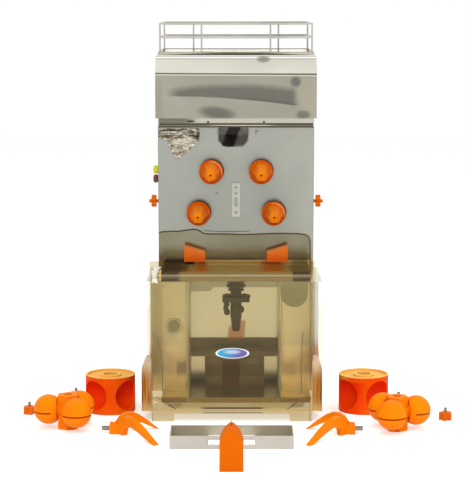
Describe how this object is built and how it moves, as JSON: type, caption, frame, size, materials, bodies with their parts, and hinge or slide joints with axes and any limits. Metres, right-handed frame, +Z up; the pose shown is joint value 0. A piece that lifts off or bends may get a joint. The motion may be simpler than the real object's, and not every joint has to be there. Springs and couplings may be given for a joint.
{
  "type": "automatic orange juicer",
  "caption": "Countertop orange juicer with wire fruit basket, feeder, meshed press shafts, tap and peel bins, its amber cover and orange squeezing set laid out in front.",
  "frame": {"origin": "on the table, in the middle of the whole layout's footprint: the machine stands behind it and the loose pieces around it", "axes": "+X to the right of the user, +Y away from the user towards the machine's back, +Z up"},
  "size_m": [0.8446, 0.82, 0.7711],
  "materials": {
    "steel_polished": "polished",
    "steel_panel": "satin, partly filmed",
    "steel_dark": "machined",
    "wire": "bright",
    "orange": "moulded",
    "black": "moulded",
    "white": "moulded",
    "rubber": "matt",
    "amber": "tinted clear",
    "green": "moulded",
    "red": "moulded",
    "motor": "satin",
    "alloy": "machined",
    "blade": "ground",
    "glass_stand": "moulded"
  },
  "bodies": {
    "machine": {"rubber_feet": "rubber", "base_tray": "steel_polished", "housing_core": "steel_polished", "housing_rear": "steel_polished", "shelf_plate": "steel_polished", "glass_stand": "glass_stand", "front_panel": "steel_panel", "header_strip": "steel_polished", "header_screws": "steel_dark", "knife_plate": "steel_dark", "side_panel_left": "steel_polished", "side_panel_right": "steel_polished", "back_panel": "steel_polished", "power_inlet": "black", "switch_box": "black", "hood_shell": "steel_polished", "fruit_tray": "steel_polished", "chute": "steel_dark", "basket_front": "wire", "basket_back": "wire", "basket_left": "wire", "basket_right": "wire", "gear_case": "alloy", "drive_motors": "motor", "shaft_seals": "black", "juice_trough": "steel_polished", "tap_body": "black", "peel_deflector_left": "orange", "peel_deflector_right": "orange"},
    "upper_left_shaft": {"shaft_upper_left": "steel_dark"},
    "upper_left_knob": {"lock_knob_upper_left": "orange"},
    "upper_right_shaft": {"shaft_upper_right": "steel_dark"},
    "upper_right_knob": {"lock_knob_upper_right": "orange"},
    "lower_left_shaft": {"shaft_lower_left": "steel_dark"},
    "lower_left_knob": {"lock_knob_lower_left": "orange"},
    "lower_right_shaft": {"shaft_lower_right": "steel_dark"},
    "lower_right_knob": {"lock_knob_lower_right": "orange"},
    "drive_pinion": {"pinion": "steel_dark"},
    "feeder": {"feed_wheel": "white"},
    "lever": {"tap_lever": "black"},
    "left_star": {"star_knob_left": "orange"},
    "right_star": {"star_knob_right": "orange"},
    "start": {"start_button": "green"},
    "stop": {"stop_button": "red"},
    "left_bin": {"peel_bin_left": "steel_polished"},
    "right_bin": {"peel_bin_right": "steel_polished"},
    "cover": {"front_cover": "amber"},
    "strainer": {"strainer_tray": "steel_polished"},
    "wedge": {"knife_wedge": "orange", "knife_blade": "blade"},
    "left_cup_drum": {"cup_drum_left": "orange"},
    "left_ball_drum": {"ball_drum_left": "orange"},
    "left_fork": {"ejector_fork_left": "orange"},
    "right_cup_drum": {"cup_drum_right": "orange"},
    "right_ball_drum": {"ball_drum_right": "orange"},
    "right_fork": {"ejector_fork_right": "orange"},
    "outer_left_loose_knob": {"loose_knob_outer_left": "orange"},
    "inner_left_loose_knob": {"loose_knob_inner_left": "orange"},
    "outer_right_loose_knob": {"loose_knob_outer_right": "orange"},
    "inner_right_loose_knob": {"loose_knob_inner_right": "orange"}
  },
  "joints": [
    {"name": "upper_left_turn", "type": "hinge", "parent": "machine", "child": "upper_left_shaft", "pos_m": [-0.05, 0.125, 0.474], "axis": [0, 1, 0], "continuous": true},
    {"name": "upper_left_lock", "type": "hinge", "parent": "upper_left_shaft", "child": "upper_left_knob", "pos_m": [-0.05, 0.11, 0.474], "axis": [0, 1, 0], "range_deg": [0, 90]},
    {"name": "upper_right_turn", "type": "hinge", "parent": "machine", "child": "upper_right_shaft", "pos_m": [0.05, 0.125, 0.474], "axis": [0, 1, 0], "continuous": true},
    {"name": "upper_right_lock", "type": "hinge", "parent": "upper_right_shaft", "child": "upper_right_knob", "pos_m": [0.05, 0.11, 0.474], "axis": [0, 1, 0], "range_deg": [0, 90]},
    {"name": "lower_left_turn", "type": "hinge", "parent": "machine", "child": "lower_left_shaft", "pos_m": [-0.0756, 0.125, 0.39033], "axis": [0, 1, 0], "continuous": true},
    {"name": "lower_left_lock", "type": "hinge", "parent": "lower_left_shaft", "child": "lower_left_knob", "pos_m": [-0.0756, 0.11, 0.39033], "axis": [0, 1, 0], "range_deg": [0, 90]},
    {"name": "lower_right_turn", "type": "hinge", "parent": "machine", "child": "lower_right_shaft", "pos_m": [0.0756, 0.125, 0.39033], "axis": [0, 1, 0], "continuous": true},
    {"name": "lower_right_lock", "type": "hinge", "parent": "lower_right_shaft", "child": "lower_right_knob", "pos_m": [0.0756, 0.11, 0.39033], "axis": [0, 1, 0], "range_deg": [0, 90]},
    {"name": "drive_pinion_turn", "type": "hinge", "parent": "machine", "child": "drive_pinion", "pos_m": [0.02699, 0.15, 0.34171], "axis": [0, 1, 0], "continuous": true},
    {"name": "feed_wheel_turn", "type": "hinge", "parent": "machine", "child": "feeder", "pos_m": [0, 0.285, 0.66], "axis": [0, 0, 1], "continuous": true},
    {"name": "tap_lever_tilt", "type": "hinge", "parent": "machine", "child": "lever", "pos_m": [0, 0.055, 0.228], "axis": [1, 0, 0], "range_deg": [0, 35]},
    {"name": "left_star_turn", "type": "hinge", "parent": "machine", "child": "left_star", "pos_m": [-0.16, 0.175, 0.408], "axis": [1, 0, 0], "range_deg": [-180, 180]},
    {"name": "right_star_turn", "type": "hinge", "parent": "machine", "child": "right_star", "pos_m": [0.16, 0.175, 0.408], "axis": [1, 0, 0], "range_deg": [-180, 180]},
    {"name": "start_press", "type": "slide", "parent": "machine", "child": "start", "axis": [1, 0, 0], "range_m": [0, 0.003], "stiffness_N_per_m": 300},
    {"name": "stop_press", "type": "slide", "parent": "machine", "child": "stop", "axis": [1, 0, 0], "range_m": [0, 0.003], "stiffness_N_per_m": 300},
    {"name": "left_bin_pull", "type": "slide", "parent": "machine", "child": "left_bin", "axis": [-1, 0, 0], "range_m": [0, 0.088]},
    {"name": "right_bin_pull", "type": "slide", "parent": "machine", "child": "right_bin", "axis": [1, 0, 0], "range_m": [0, 0.096]},
    {"name": "cover_draw", "type": "slide", "parent": "machine", "child": "cover", "axis": [0, -1, 0], "range_m": [0, 0.04]},
    {"name": "strainer_lift", "type": "slide", "parent": "machine", "child": "strainer", "axis": [0, 0, 1], "range_m": [0, 0.12]},
    {"name": "wedge_lift", "type": "slide", "parent": "machine", "child": "wedge", "axis": [0, 0, 1], "range_m": [0, 0.12]},
    {"name": "left_cup_drum_lift", "type": "slide", "parent": "machine", "child": "left_cup_drum", "axis": [0, 0, 1], "range_m": [0, 0.12]},
    {"name": "left_ball_drum_lift", "type": "slide", "parent": "machine", "child": "left_ball_drum", "axis": [0, 0, 1], "range_m": [0, 0.12]},
    {"name": "left_fork_lift", "type": "slide", "parent": "machine", "child": "left_fork", "axis": [0, 0, 1], "range_m": [0, 0.12]},
    {"name": "right_cup_drum_lift", "type": "slide", "parent": "machine", "child": "right_cup_drum", "axis": [0, 0, 1], "range_m": [0, 0.12]},
    {"name": "right_ball_drum_lift", "type": "slide", "parent": "machine", "child": "right_ball_drum", "axis": [0, 0, 1], "range_m": [0, 0.12]},
    {"name": "right_fork_lift", "type": "slide", "parent": "machine", "child": "right_fork", "axis": [0, 0, 1], "range_m": [0, 0.12]},
    {"name": "outer_left_knob_lift", "type": "slide", "parent": "machine", "child": "outer_left_loose_knob", "axis": [0, 0, 1], "range_m": [0, 0.12]},
    {"name": "inner_left_knob_lift", "type": "slide", "parent": "machine", "child": "inner_left_loose_knob", "axis": [0, 0, 1], "range_m": [0, 0.12]},
    {"name": "outer_right_knob_lift", "type": "slide", "parent": "machine", "child": "outer_right_loose_knob", "axis": [0, 0, 1], "range_m": [0, 0.12]},
    {"name": "inner_right_knob_lift", "type": "slide", "parent": "machine", "child": "inner_right_loose_knob", "axis": [0, 0, 1], "range_m": [0, 0.12]}
  ],
  "couplings": [
    {"joint": "upper_right_turn", "follows": "upper_left_turn", "ratio": -1},
    {"joint": "lower_left_turn", "follows": "upper_left_turn", "ratio": -1.3333},
    {"joint": "lower_right_turn", "follows": "upper_left_turn", "ratio": 1.3333},
    {"joint": "drive_pinion_turn", "follows": "upper_left_turn", "ratio": -1.6}
  ]
}
